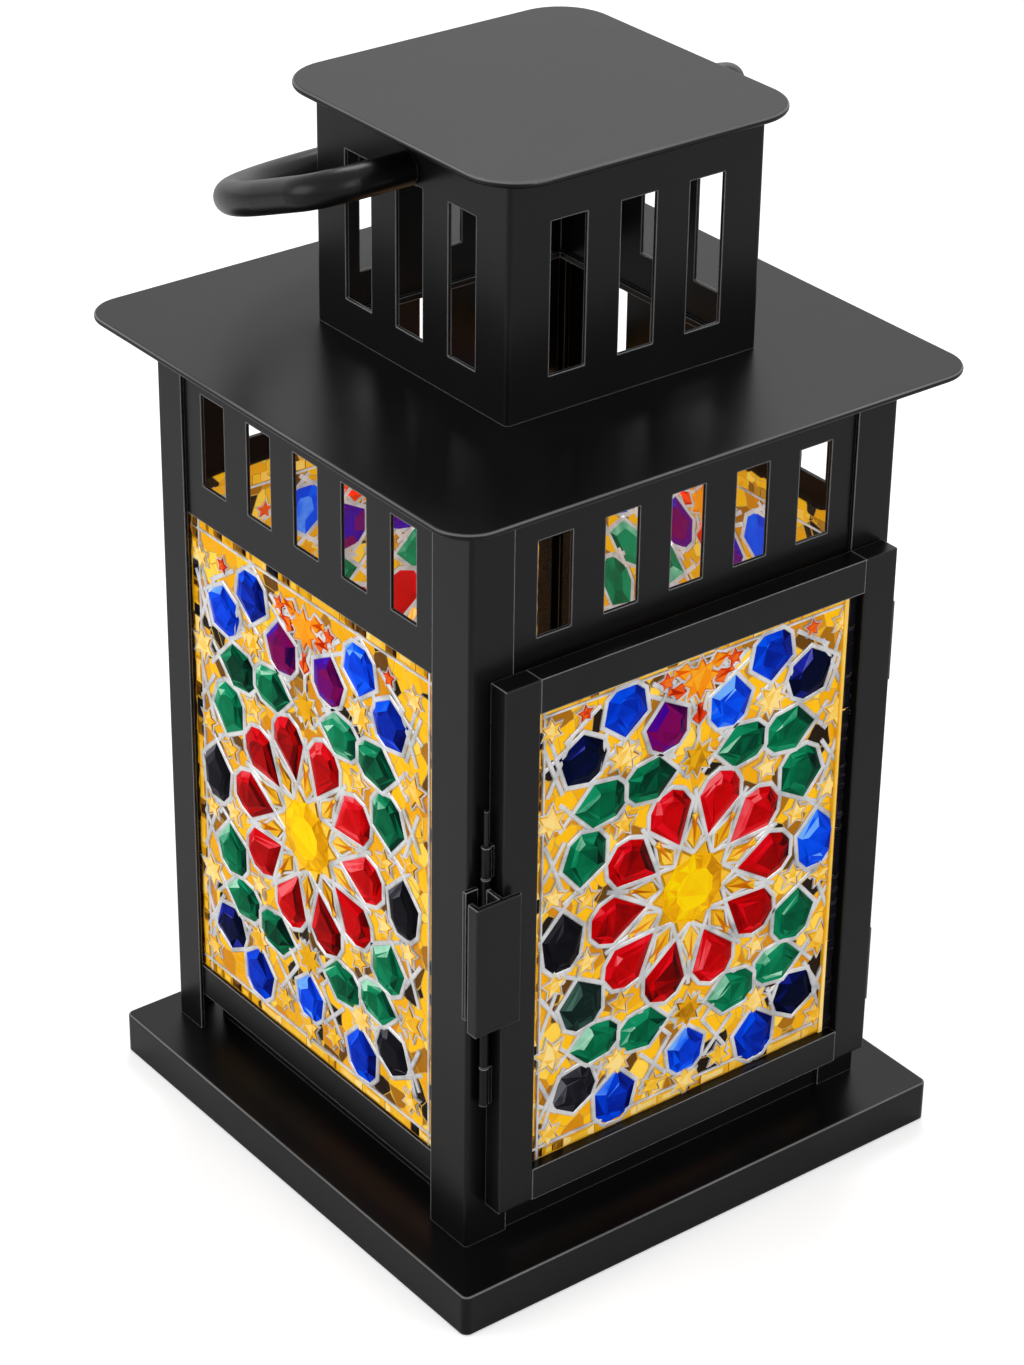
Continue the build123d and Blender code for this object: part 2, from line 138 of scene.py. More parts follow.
def powder_coat(name, dark, light, edge_highlight, rough, shine, rim_highlight=0.0):
    """Satin black powder coat: fine orange peel, cloudy gloss, and a painted highlight along its edges, in a
    paler colour.

    Above 0, the rim highlight also paints a highlight on the rounded upper edges, which are the faces that
    lean outwards.
    """
    mat, tree, shader, place = finish(name)
    clouds = grain(tree, place, scale=22.0, detail=3.0)
    softened = node(tree, "Bevel", samples=6)
    softened.inputs["Radius"].default_value = 0.55 * MM
    bend = node(tree, "VectorMath", operation="DOT_PRODUCT")
    tree.links.new(softened.outputs["Normal"], bend.inputs[0])
    tree.links.new(node(tree, "NewGeometry").outputs["Normal"], bend.inputs[1])
    # Painted highlight: the edges, found by the bevelled normal, take the paler colour
    edges = ramp(tree, bend.outputs["Value"], [(0.78, on), (0.985, off)])
    if rim_highlight:
        # Painted highlight on the rounded edges whose faces lean upwards, made patchy by the clouds
        leaning = node(tree, "SeparateXYZ")
        tree.links.new(node(tree, "TexCoord").outputs["Normal"], leaning.inputs[0])
        wear_and_rim_highlight = (rim_highlight, rim_highlight, rim_highlight)
        rounded = ramp(tree, leaning.outputs["Z"], [(0.35, off), (0.6, wear_and_rim_highlight), (0.88, wear_and_rim_highlight), (0.98, off)])
        patchy = reckon(tree, "MULTIPLY", rounded, spread(tree, clouds, 0.2, 1.3))
        edges = reckon(tree, "MAXIMUM", edges, patchy)
    coat = ramp(tree, clouds, [(0.3, dark), (0.7, light)])
    tree.links.new(blended(tree, edges, coat, edge_highlight), shader.inputs["Base Color"])
    gloss = grain(tree, place, scale=60.0, detail=4.0)
    tree.links.new(spread(tree, gloss, *rough), shader.inputs["Roughness"])
    peel = grain(tree, place, scale=1500.0)
    relief(tree, peel, shader, strength=0.1, depth=0.1, over=softened.outputs["Normal"])
    shader.inputs["Specular IOR Level"].default_value = shine
    return mat


def paint_backlight_glow(tree, shader, colour):
    """Painted light: an emission in the face's colour stands in for light that comes through from behind, as
    strong as the face's own painted glow.
    """
    tree.links.new(colour, shader.inputs["Emission Color"])
    painted_glow = node(tree, "Attribute", attribute_name="painted_glow").outputs["Fac"]
    tree.links.new(painted_glow, shader.inputs["Emission Strength"])


def gem_finish(name, stops, rough=0.08):
    """Cut glass: each facet has its own tone, with painted light and shade, and soft streaks run inside the
    stone. The stone glows with painted light.
    """
    mat, tree, shader, place = finish(name)
    tone = node(tree, "Attribute", attribute_name="tone").outputs["Fac"]
    streaks = grain(tree, place, scale=260.0)
    streaked = reckon(tree, "ADD", spread(tree, streaks, -0.14, 0.14), tone)
    colour = ramp(tree, streaked, stops)
    tree.links.new(colour, shader.inputs["Base Color"])
    # Painted light: the stone glows in its own colour
    paint_backlight_glow(tree, shader, colour)
    tree.links.new(spread(tree, streaks, rough * 0.6, rough * 1.6), shader.inputs["Roughness"])
    shader.inputs["Specular IOR Level"].default_value = 0.015
    return mat


# The paler edge colours are painted highlights; the plates also get a painted highlight on their rounded
# upper edges
satin_black = dict(dark=(0.0022, 0.0022, 0.0026), light=(0.004, 0.004, 0.0044), edge_highlight=(0.42, 0.42, 0.425),
                   rough=(0.24, 0.36), shine=0.2)
black_coat = powder_coat("black_powder_coat", **satin_black)
black_plates = powder_coat("black_powder_coat_plates", **satin_black, rim_highlight=0.5)
black_pins = powder_coat("black_oxide", dark=(0.006, 0.006, 0.006), light=(0.011, 0.011, 0.012),
                         edge_highlight=(0.18, 0.18, 0.18), rough=(0.22, 0.32), shine=0.22)

pane_glass, tree, shader, place = finish("clear_pane_glass")
tint = ramp(tree, grain(tree, place, scale=9.0), [(0.3, (0.30, 0.29, 0.25)), (0.7, (0.36, 0.35, 0.31))])
tree.links.new(tint, shader.inputs["Base Color"])
shader.inputs["Alpha"].default_value = 0.08
shader.inputs["Roughness"].default_value = 0.03

silver, tree, shader, place = finish("silver_came")
wear_and_rim_highlight = grain(tree, place, scale=130.0, detail=4.0, roughness=0.6)
metal = ramp(tree, wear_and_rim_highlight, [(0.3, (0.42, 0.42, 0.43)), (0.55, (0.74, 0.74, 0.75)), (0.75, (0.88, 0.88, 0.88))])
tree.links.new(metal, shader.inputs["Base Color"])
# Painted light: the came glows in its own colour where its painted glow is set, on its backs
paint_backlight_glow(tree, shader, metal)
tree.links.new(spread(tree, wear_and_rim_highlight, 0.46, 0.3), shader.inputs["Roughness"])
relief(tree, grain(tree, place, scale=700.0), shader, strength=0.2, depth=0.1)
shader.inputs["Metallic"].default_value = 0.3
shader.inputs["Specular IOR Level"].default_value = 0.2

ground, tree, shader, place = finish("gold_chip_ground")
chips_per_metre = 170.0
pick_one = node(tree, "SeparateColor")
tree.links.new(cells(tree, place, chips_per_metre, "F1")["Color"], pick_one.inputs[0])
chip_tone = ramp(tree, pick_one.outputs[0], [
    (0.0, (0.014, 0.007, 0.003)), (0.08, (0.12, 0.045, 0.003)), (0.14, (0.34, 0.13, 0.003)),
    (0.22, (0.58, 0.22, 0.003)), (0.34, (0.76, 0.35, 0.003)), (0.56, (0.86, 0.45, 0.005)),
    (0.88, (0.90, 0.57, 0.06))], "CONSTANT")
seams = cells(tree, place, chips_per_metre, "DISTANCE_TO_EDGE")["Distance"]
leaded = blended(tree, ramp(tree, seams, [(0.008, on), (0.03, off)]), chip_tone, (0.50, 0.31, 0.06))
tree.links.new(leaded, shader.inputs["Base Color"])
# Painted light: the chips glow in their own colour, which also lightens the shade in the narrow gaps between
# the cames
paint_backlight_glow(tree, shader, leaded)
relief(tree, seams, shader, strength=0.5, depth=0.5)
tree.links.new(spread(tree, pick_one.outputs[1], 0.14, 0.3), shader.inputs["Roughness"])
shader.inputs["Specular IOR Level"].default_value = 0.04

# Each glass from its dark facets to its bright ones: the dark end serves painted shade, the bright end
# painted highlight
glass_tones = {
    "ruby": [(0.0, (0.035, 0.0, 0.0)), (0.22, (0.20, 0.0, 0.0004)), (0.5, (0.52, 0.0003, 0.0012)),
             (0.8, (0.76, 0.003, 0.012)), (1.0, (0.86, 0.13, 0.15))],
    "emerald": [(0.0, (0.0, 0.008, 0.005)), (0.25, (0.0004, 0.042, 0.02)), (0.5, (0.0008, 0.135, 0.052)),
                (0.8, (0.006, 0.27, 0.12)), (1.0, (0.36, 0.70, 0.50))],
    "moss": [(0.0, (0.002, 0.005, 0.005)), (0.5, (0.005, 0.016, 0.014)), (1.0, (0.06, 0.14, 0.11))],
    "sapphire": [(0.0, (0.0005, 0.002, 0.07)), (0.25, (0.0005, 0.014, 0.30)), (0.5, (0.0008, 0.045, 0.68)),
                 (0.8, (0.001, 0.10, 0.92)), (1.0, (0.16, 0.42, 0.95))],
    "navy": [(0.0, (0.0005, 0.001, 0.004)), (0.45, (0.0006, 0.0025, 0.022)), (0.65, (0.002, 0.005, 0.09)),
             (0.85, (0.012, 0.02, 0.38)), (1.0, (0.15, 0.14, 0.45))],
    "amethyst": [(0.0, (0.014, 0.0, 0.045)), (0.3, (0.19, 0.0005, 0.075)), (0.5, (0.14, 0.0005, 0.13)),
                 (0.7, (0.045, 0.001, 0.28)), (0.85, (0.05, 0.003, 0.42)), (1.0, (0.22, 0.07, 0.52))],
    "jet": [(0.0, (0.002, 0.002, 0.003)), (0.55, (0.008, 0.0075, 0.011)), (0.8, (0.03, 0.028, 0.036)),
            (1.0, (0.12, 0.12, 0.14))],
    "citrine": [(0.0, (0.52, 0.20, 0.002)), (0.4, (0.80, 0.37, 0.002)), (0.75, (0.94, 0.60, 0.001)),
                (1.0, (0.97, 0.66, 0.002))],
    "amber": [(0.0, (0.14, 0.05, 0.002)), (0.3, (0.50, 0.22, 0.004)), (0.65, (0.80, 0.40, 0.008)),
              (1.0, (0.92, 0.58, 0.06))],
    "honey": [(0.0, (0.10, 0.035, 0.002)), (0.18, (0.36, 0.14, 0.003)), (0.34, (0.74, 0.35, 0.005)),
              (1.0, (0.88, 0.52, 0.02))],
    "smoke": [(0.0, (0.012, 0.005, 0.002)), (0.3, (0.04, 0.016, 0.003)), (0.45, (0.22, 0.085, 0.006)),
              (1.0, (0.55, 0.28, 0.02))],
    "flame": [(0.0, (0.26, 0.004, 0.002)), (0.5, (0.66, 0.03, 0.004)), (1.0, (0.86, 0.17, 0.015))],
    "orange": [(0.0, (0.50, 0.07, 0.002)), (0.5, (0.86, 0.24, 0.004)), (1.0, (0.92, 0.40, 0.02))],
}
stones = {name: gem_finish(name + "_glass", stops) for name, stops in glass_tones.items()}
# The gold of the stars, from painted shade to painted highlight
gold_tones = [(0.0, (0.26, 0.10, 0.004)), (0.35, (0.70, 0.30, 0.006)), (0.7, (0.88, 0.49, 0.03)),
              (1.0, (0.95, 0.70, 0.25))]
stones["gold"] = gem_finish("gold_leaf_star", gold_tones, rough=0.2)
pale_topped = {stones[name].name for name in ("citrine", "amber", "flame", "orange", "gold")}

slot_finish = {"black_steel": black_coat, "black_steel_pins": black_pins, "clear_glass": pane_glass,
               "silver_came": silver, "gem_glass": stones["ruby"]}
# The roof, cap and plinth take the finish with the painted highlight on their rounded upper edges
rounded_plates = dict.fromkeys(("roof", "cap", "plinth"), black_plates)
for subpart in frame["record"]["subparts"]:
    mesh = nodes[subpart["node"]].data
    mesh.materials.clear()
    mesh.materials.append(rounded_plates.get(subpart["node"], slot_finish[subpart["material_slot"]]))


# Mosaic pieces, in mm
# Each is modelled once about its own centre: u along X, v along Y, outward along Z,
# with z = 0 on the outer face of the came sheet. Slot 0 is the came, slot 1 the stone.

stone_back, girdle = -0.95, 0.1
came_top, came_crown, came_slope = 0.25, 0.22, 0.22
gem_l, gem_w = 13.8, 11.6
came_w, strap_past = 1.2, 5.5


def clear_selection():
    bpy.ops.object.select_all(action="DESELECT")


def edit():
    bpy.ops.object.mode_set(mode="EDIT")
    bpy.ops.mesh.select_all(action="DESELECT")


def leave_edit():
    bpy.ops.object.mode_set(mode="OBJECT")
    bpy.ops.object.transform_apply(location=True, rotation=True, scale=True)
    return bpy.context.object


def shape_to_choose_from(kind):
    bpy.ops.mesh.select_mode(type=kind)
    bpy.ops.mesh.select_all(action="DESELECT")
    return bmesh.from_edit_mesh(bpy.context.object.data)


def choose(kind, test):
    """Selects the vertices, edges or faces whose middle passes the test."""
    shape = shape_to_choose_from(kind)
    if kind == "VERT":
        for vertex in shape.verts:
            vertex.select_set(test(vertex.co))
    elif kind == "EDGE":
        for edge in shape.edges:
            edge.select_set(test((edge.verts[0].co + edge.verts[1].co) / 2))
    else:
        for face in shape.faces:
            face.select_set(test(face.calc_center_median()))
    shape.select_flush_mode()
    bmesh.update_edit_mesh(bpy.context.object.data)


def choose_slot(slot, inward=False):
    """Selects the faces of a material slot that look outward, or inward."""
    shape = shape_to_choose_from("FACE")
    shape.normal_update()
    for face in shape.faces:
        looks_in = face.normal.z < -0.5
        face.select_set(face.material_index == slot and looks_in == inward)
    bmesh.update_edit_mesh(bpy.context.object.data)


def push(along, z=0.0):
    bpy.ops.mesh.extrude_region_move(TRANSFORM_OT_translate={"value": (along, 0.0, z)})


def narrow(x, y):
    bpy.ops.transform.resize(value=(x, y, 1.0), center_override=(0, 0, 0))


def inset(wide, rise=0.0):
    bpy.ops.mesh.inset(thickness=wide * MM, depth=rise * MM, use_even_offset=True)


def outline_plate(rows):
    """A flat plate from a tip to a blunt end: rows of place along X and half width."""
    (x0, _), (x1, w1), (x2, w2), (x3, w3) = [(x * MM, w * MM) for x, w in rows]
    clear_selection()
    bpy.ops.mesh.primitive_plane_add(size=1.0)
    edit()
    bpy.ops.mesh.select_all(action="SELECT")
    bpy.ops.transform.resize(value=(x2 - x1, 2 * w1, 1.0))
    bpy.ops.transform.translate(value=((x1 + x2) / 2, 0.0, 0.0))
    near = 1e-6
    choose("EDGE", lambda m: abs(m.x - x2) < near)
    narrow(1.0, w2 / w1)
    push(x3 - x2)
    narrow(1.0, w3 / w2)
    choose("EDGE", lambda m: abs(m.x - x1) < near)
    push(x0 - x1)
    narrow(1.0, 0.0)
    bpy.ops.mesh.select_all(action="SELECT")
    bpy.ops.mesh.remove_doubles(threshold=near)
    bpy.ops.mesh.select_mode(type="FACE")
    bpy.ops.mesh.select_all(action="SELECT")
    bpy.ops.mesh.dissolve_faces()


def star_plate(points, tip, notch):
    """A flat star: a circle whose every second corner is drawn in."""
    clear_selection()
    bpy.ops.mesh.primitive_circle_add(vertices=2 * points, radius=tip * MM, fill_type="NGON")
    edit()
    step = math.pi / points
    first = math.pi / 2

    def is_notch(corner):
        turn = (math.atan2(corner.y, corner.x) - first) / step
        return round(turn) % 2 == 1

    choose("VERT", is_notch)
    narrow(notch / tip, notch / tip)


def set_stone(name, came, steps):
    """Turns a flat plate into a came with a cut stone in it. Each step is an inset and a rise."""
    plate = bpy.context.object
    plate.name = name
    for slot in (silver, stones["ruby"]):
        plate.data.materials.append(slot)
    bpy.ops.mesh.select_mode(type="FACE")
    bpy.ops.mesh.select_all(action="SELECT")
    bpy.ops.mesh.normals_make_consistent(inside=False)
    if bmesh.from_edit_mesh(plate.data).faces[0].normal.z < 0:
        bpy.ops.mesh.flip_normals()
    bpy.ops.transform.translate(value=(0, 0, stone_back * MM))
    inset(came)
    bpy.ops.mesh.split()
    plate.active_material_index = 1
    bpy.ops.object.material_slot_assign()

    # Each push leaves the flat face behind, turned inwards, as the back of the came or the stone
    choose_slot(0)
    push(0.0, (came_top - came_crown - stone_back) * MM)
    inset(came_slope * came, came_crown)
    choose_slot(1)
    push(0.0, (girdle - stone_back) * MM)
    for wide, rise in steps:
        inset(wide, rise)
    choose("FACE", lambda m: m.z > (girdle + 0.02) * MM)
    bpy.ops.mesh.quads_convert_to_tris(quad_method="LONGEST_DIAGONAL", ngon_method="BEAUTY")
    choose_slot(1, inward=True)
    back_rim = 1.5 * steps[0][0]
    inset(back_rim)
    return leave_edit()


def cut_stone(name, rows, came, *steps):
    outline_plate(rows)
    return set_stone(name, came, steps)


def cut_star(name, points, tip, notch, came, *steps):
    star_plate(points, tip, notch)
    return set_stone(name, came, steps)


def gem_rows(length, width):
    """Tip, shoulder, waist and blunt end of a gem about its middle."""
    return [(length / 2, 0.0), (0.12 * length, width / 2), (-0.32 * length, 0.42 * width),
            (-length / 2, 0.2 * width)]


gem_and_came = gem_rows(gem_l + 3.3, gem_w + 2.9)
cut_gem = cut_stone("cut_gem", gem_and_came, came_w, (1.3, 0.6), (1.4, 0.3))
rose_gem = cut_stone("rose_gem", gem_and_came, came_w, (2.1, 0.8), (0.8, 0.1))
petal_rows = [(12.3, 0.0), (24.6, 8.05), (29.8, 6.35), (32.85, 2.9)]
petal_gem = cut_stone("petal_gem", petal_rows, 1.3, (1.3, 0.6), (1.4, 0.3))
kite_rows = [(9.6, 0.0), (14.4, 3.3), (15.6, 3.0), (21.6, 0.3)]
kite_gem = cut_stone("kite_gem", kite_rows, 0.85, (0.45, 0.35))
heart_star = cut_star("heart_star", 10, 15.2, 10.9, 1.3, (0.5, 0.3))
heart_core = cut_star("heart_core", 10, 9.9, 9.3, 0.2, (0.9, 0.5), (2.6, 0.35))
eight_star = cut_star("eight_star", 8, 6.0, 3.6, 0.4, (0.4, 0.3))
six_star = cut_star("six_star", 6, 5.6, 3.0, 0.4, (0.4, 0.3))
five_star = cut_star("five_star", 5, 4.6, 2.3, 0.4, (0.35, 0.3))

# A bar of 1 mm, drawn out to its length and width in each place
clear_selection()
bpy.ops.mesh.primitive_cube_add(size=1.0)
edit()
bpy.ops.mesh.select_all(action="SELECT")
bpy.ops.transform.resize(value=(1 * MM, 1 * MM, 1 * MM))
choose("FACE", lambda m: m.z > 0.4 * MM)
inset(came_slope, 0.2)
came_bar = leave_edit()
came_bar.name = "came_bar"
came_bar.data.materials.append(silver)


# Panels, in mm

facets_above, facet_shift, tone_shift = 0.4, 0.5, (-0.14, 0.2)


def copy_of(master, name, matrix, stone=None, both=False, rough_cut=None):
    """A copy with its own mesh, put in place. A rough cut shifts the corners of its facets and its tone."""
    made = bpy.data.objects.new(name, master.data.copy())
    depth = made.data.attributes.new("depth", "FLOAT", "FACE")
    if rough_cut:
        depth.data.foreach_set("value", [rough_cut.uniform(*tone_shift)] * len(made.data.polygons))
        for vertex in made.data.vertices:
            if vertex.co.z > facets_above * MM:
                vertex.co.x += rough_cut.uniform(-facet_shift, facet_shift) * MM
                vertex.co.y += rough_cut.uniform(-facet_shift, facet_shift) * MM
    made.data.transform(matrix)
    if matrix.determinant() < 0:
        made.data.flip_normals()
    if stone:
        made.data.materials[-1] = stones[stone]
        if both:
            made.data.materials[0] = stones[stone]
    scene.collection.objects.link(made)
    return made


def turned(u, v, turn=0.0, along=1.0, across=1.0, rise=1.0, lift=0.0):
    return (Matrix.Translation((u * MM, v * MM, lift * MM)) @ Matrix.Rotation(math.radians(turn), 4, "Z")
            @ Matrix.Diagonal((along, across, rise, 1.0)))


# Gems round the rosette, right half: u, v, length, width, turn; then the stones
# of the door (left, right) and of the fixed panels (left, right)
side_gems = (
    (13.8, 35.9, 14.6, 11.2, 180.0, "emerald", "emerald", "emerald", "emerald"),
    (30.2, 34.8, 14.8, 11.6, 0.0, "emerald", "emerald", "emerald", "emerald"),
    (34.2, 20.4, 14.2, 12.8, -80.0, "emerald", "emerald", "emerald", "emerald"),
    (40.5, 0.0, 15.8, 12.0, 90.0, "jet", "sapphire", "jet", "jet"),
    (34.2, -20.4, 14.0, 12.8, 80.0, "moss", "emerald", "emerald", "emerald"),
    (30.2, -33.8, 14.4, 11.0, 0.0, "emerald", "emerald", "emerald", "emerald"),
    (13.8, -36.2, 14.6, 11.2, 180.0, "emerald", "emerald", "emerald", "emerald"),
    (9.9, 49.8, 13.2, 12.4, 80.0, "amethyst", "sapphire", "amethyst", "amethyst"),
    (36.2, 49.0, 13.8, 12.8, 20.0, "navy", "navy", "sapphire", "sapphire"),
    (22.8, 57.4, 13.2, 12.6, -90.0, "sapphire", "sapphire", "sapphire", "sapphire"),
    (36.6, -45.8, 13.2, 12.4, -20.0, "jet", "navy", "navy", "jet"),
    (22.8, -52.4, 14.6, 12.4, 95.0, "sapphire", "sapphire", "sapphire", "sapphire"),
)
bottom_gem = (0, -47.8, 12.8, 11.4, 90, "sapphire")
# Stars between the gems, right half: master, u, v, size, stone
side_stars = (
    (eight_star, 23.0, 45.5, 0.95, "gold"), (eight_star, 22.5, -42.5, 0.9, "gold"),
    (six_star, 45.0, 35.0, 1.05, "gold"), (six_star, 43.8, -32.0, 1.1, "gold"),
    (six_star, 45.2, 60.0, 0.75, "gold"), (six_star, 43.8, -55.5, 0.8, "gold"),
    (six_star, 11.0, -54.5, 0.8, "amber"), (five_star, 22.5, 26.6, 1.0, "gold"),
    (five_star, 33.3, 9.5, 1.0, "gold"), (five_star, 33.0, -9.0, 1.0, "gold"),
    (five_star, 22.0, -25.4, 1.0, "gold"), (five_star, 43.5, 13.5, 1.0, "gold"),
    (five_star, 42.8, -12.0, 1.0, "gold"), (five_star, 35.2, 61.5, 0.7, "flame"),
    (five_star, 10.5, 61.5, 0.75, "flame"),
)
middle_stars = ((eight_star, 0.0, 37.0, 1.0, "honey"), (eight_star, 0.0, -36.4, 1.0, "honey"),
                (eight_star, 0.0, 59.0, 1.2, "orange"), (six_star, 0.0, -57.8, 0.95, "gold"))
# Kites of red and orange glass round the top star: the point they turn about, turn, stone
flames = ((0.0, 39.6, 90.0, "flame"), (-2.2, 54.5, 20.0, "flame"), (2.2, 54.5, 160.0, "flame"),
          (-4.0, 61.0, 10.0, "orange"), (4.0, 61.0, 170.0, "orange"))
# Came strips between the stones, right half: from u, v to u, v
strips = (
    (38.8, 57.0, 46.0, 42.0), (47.5, 56.0, 41.5, 41.5), (46.5, 29.0, 40.5, 13.5), (40.5, 28.0, 47.0, 18.5),
    (41.0, -11.5, 47.0, -26.0), (47.5, -13.5, 41.0, -23.0), (39.0, -37.5, 47.0, -51.0),
    (47.0, -38.5, 41.5, -50.0), (5.6, -42.0, 14.6, -54.5), (15.0, -43.5, 6.0, -53.0),
    (2.6, 54.5, 0.0, 46.5), (0.0, 46.5, 0.0, 41.5), (30.5, 62.0, 41.0, 55.0), (14.8, 62.5, 6.0, 55.5),
    (16.0, -30.0, 5.0, -42.0), (28.5, 54.0, 31.0, 44.0),
)
flame_size = (0.62, 0.95)
strip_rise, strip_lift, strap_lift = 0.9, -0.35, -0.62
# Rosette: its folds, and the came spokes between its petals, by distance from its centre
folds, fold_turn = 10, 36
spoke_from, spoke_to = 20.4, 28.5
# Left to chance: how many gems have the plain cut, and how far the small stars are turned
plain_cut_share, star_turn = 0.6, 12
# Border: how far in from the window's edge its line and its bars lie, the line's width, rise and lift,
# the bars' lengths, and the glass of the short ones
line_in, bars_in = 3.4, 1.5
silver_line, gold_line = (0.7, 0.9, -0.35), (1.3, 0.9, 0.1)
bar_wide, bar_rise, bar_lift, bar_gap = 2.6, 0.8, -0.4, 0.3
long_bar, short_bar, least_bar, short_share = (6.0, 12.0), (2.2, 5.5), 1.0, 0.62
short_glass = ["jet", "smoke", "honey", "smoke", "honey", "amber"]


def ground_plate(width, low_v, high_v, rng):
    """The ground of gold chips, crumpled into small flats. Its edges lie under the frame."""
    under_sides, under_ends, behind = 1.4, 5.0, -0.25
    wide, tall = width + under_sides, high_v - low_v + under_ends
    straight_edge, sideways, crumple, thick = 0.5, 0.7, (-0.25, 0.2), 0.35
    clear_selection()
    bpy.ops.mesh.primitive_grid_add(x_subdivisions=46, y_subdivisions=60, size=1.0)
    edit()
    bpy.ops.mesh.select_all(action="SELECT")
    bpy.ops.transform.resize(value=(wide * MM, tall * MM, 1.0))
    bpy.ops.transform.translate(value=(0, (low_v + high_v) / 2 * MM, behind * MM))
    bpy.ops.mesh.quads_convert_to_tris(quad_method="SHORTEST_DIAGONAL")
    bpy.ops.object.mode_set(mode="OBJECT")
    for vertex in bpy.context.object.data.vertices:
        if abs(vertex.co.x) < (wide / 2 - straight_edge) * MM:
            vertex.co.x += rng.uniform(-sideways, sideways) * MM
            vertex.co.y += rng.uniform(-sideways, sideways) * MM
        vertex.co.z += rng.uniform(*crumple) * MM
    edit()
    bpy.ops.mesh.select_all(action="SELECT")
    push(0.0, -thick * MM)
    bpy.ops.mesh.select_all(action="SELECT")
    bpy.ops.mesh.normals_make_consistent(inside=False)
    plate = leave_edit()
    plate.data.materials.append(ground)
    return plate


def panel(name, width, window, shift, seat, side, door=False):
    """One mosaic panel in place of the cames and gems of a side.

    The window's lower and upper edge are measured from the seat's point. The rosette's centre
    is shifted from it.
    """
    low_v, high_v = window
    half = width / 2
    rng = random.Random(name)
    parts = []

    def add(master, u, v, turn, stone, along=1.0, across=1.0, rise=1.0, lift=0.0, both=False, cut=None):
        step = 0.02 * (len(parts) % 7)  # so that cames that cross seldom share a plane
        place = turned(u, v, turn, along, across, rise, lift + step)
        parts.append(copy_of(master, name, place, stone, both, cut))

    def gem(master, u, v, turn, stone, along=1.0, across=1.0):
        add(master, u + shift[0], v + shift[1], turn, stone, along, across, cut=rng)

    def strip(u0, v0, u1, v1, lift=strip_lift):
        length = math.hypot(u1 - u0, v1 - v0)
        turn = math.degrees(math.atan2(v1 - v0, u1 - u0))
        middle = ((u0 + u1) / 2 + shift[0], (v0 + v1) / 2 + shift[1])
        add(came_bar, *middle, turn, None, length, came_w, strip_rise, lift)

    def straps(u, v, turn, along, across):
        """The cames of a gem's slanting sides run on past its two ends, and cross there."""
        tip, shoulder, waist, end = gem_rows((gem_l + came_w) * along, (gem_w + came_w) * across)
        place = Matrix.Translation((u, v, 0)) @ Matrix.Rotation(math.radians(turn), 4, "Z")
        for start, stop in ((shoulder, tip), (waist, end)):
            for hand in (-1, 1):
                near = Vector((start[0], hand * start[1], 0))
                far = Vector((stop[0], hand * stop[1], 0))
                past = far + strap_past * (far - near).normalized()
                strip(*(place @ far).xy, *(place @ past).xy, strap_lift)

    def strapped_gem(master, u, v, length, wide, turn, stone):
        gem(master, u, v, turn, stone, length / gem_l, wide / gem_w)
        straps(u, v, turn, length / gem_l, wide / gem_w)

    def border_bars(horizontal, edge):
        """Gold bars end to end along one edge of the window, with short pieces of other glass."""
        at_reveal = door and not horizontal and edge > 0
        run, start = (width, -half) if horizontal else (high_v - low_v, low_v)
        across_at = edge * (half - bars_in)
        if horizontal:
            across_at = low_v + bars_in if edge < 0 else high_v - bars_in
        at = start
        while at < start + run - least_bar:
            long = min(rng.uniform(*long_bar), start + run - at)
            kind = "gold"
            if rng.random() < short_share:
                long = min(rng.uniform(*short_bar), start + run - at)
                kind = rng.choice(short_glass)
            if at_reveal:
                kind = "jet"
            spot = at + long / 2
            u, v = (spot, across_at) if horizontal else (across_at, spot)
            turn = 0 if horizontal else 90
            lift = 0.0 if at_reveal else bar_lift
            add(came_bar, u, v, turn, kind, long - bar_gap, bar_wide, bar_rise, lift)
            at += long

    add(heart_star, *shift, 90, "amber", lift=0.01, cut=rng)
    add(heart_core, *shift, 108, "citrine", lift=0.25, both=True)
    for fold in range(folds):
        gem(petal_gem, 0, 0, fold_turn * fold, "ruby")
        gem(kite_gem, 0, 0, fold_turn * (fold + 0.5), "amber")
    for u, v, length, wide, turn, *colours in side_gems:
        left, right = colours[:2] if door else colours[2:]
        master = cut_gem if rng.random() < plain_cut_share else rose_gem
        strapped_gem(master, u, v, length, wide, turn, right)
        strapped_gem(master, -u, v, length, wide, 180 - turn, left)
    strapped_gem(cut_gem, *bottom_gem)
    for master, u, v, size, stone in side_stars:
        for hand in (-1, 1):
            gem(master, hand * u, v, rng.uniform(-star_turn, star_turn), stone, size, size)
    for master, u, v, size, stone in middle_stars:
        gem(master, u, v, 0, stone, size, size)
    for u, v, turn, stone in flames:
        gem(kite_gem, u, v, turn, stone, *flame_size)

    for u0, v0, u1, v1 in strips:
        for hand in (-1, 1):
            strip(hand * u0, v0, hand * u1, v1)
    for fold in range(folds):
        way = math.radians(fold_turn * (fold + 0.5))
        across, up = math.cos(way), math.sin(way)
        strip(spoke_from * across, spoke_from * up, spoke_to * across, spoke_to * up)

    # A silver line inside the border, but gold where the door's right stile leaves a dark reveal
    for edge in (-1, 1):
        at_reveal = door and edge > 0
        kind = "gold" if at_reveal else None
        line = gold_line if at_reveal else silver_line
        add(came_bar, edge * (half - line_in), (low_v + high_v) / 2, 90, kind, high_v - low_v, *line)
        across_at = low_v + line_in if edge < 0 else high_v - line_in
        add(came_bar, 0, across_at, 0, None, width, *silver_line)
    for horizontal in (True, False):
        for edge in (-1, 1):
            border_bars(horizontal, edge)
    parts.append(ground_plate(width, low_v, high_v, rng))

    clear_selection()
    for part in parts:
        part.select_set(True)
    bpy.context.view_layer.objects.active = parts[0]
    bpy.ops.object.join()
    made = bpy.context.object
    made.name = name
    made.data.name = name
    paint_facet_light_and_glow(made, rng)
    made.data.transform(seat)
    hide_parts(f"{side}_cames", f"{side}_gems")
    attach(made, "door" if door else "house")


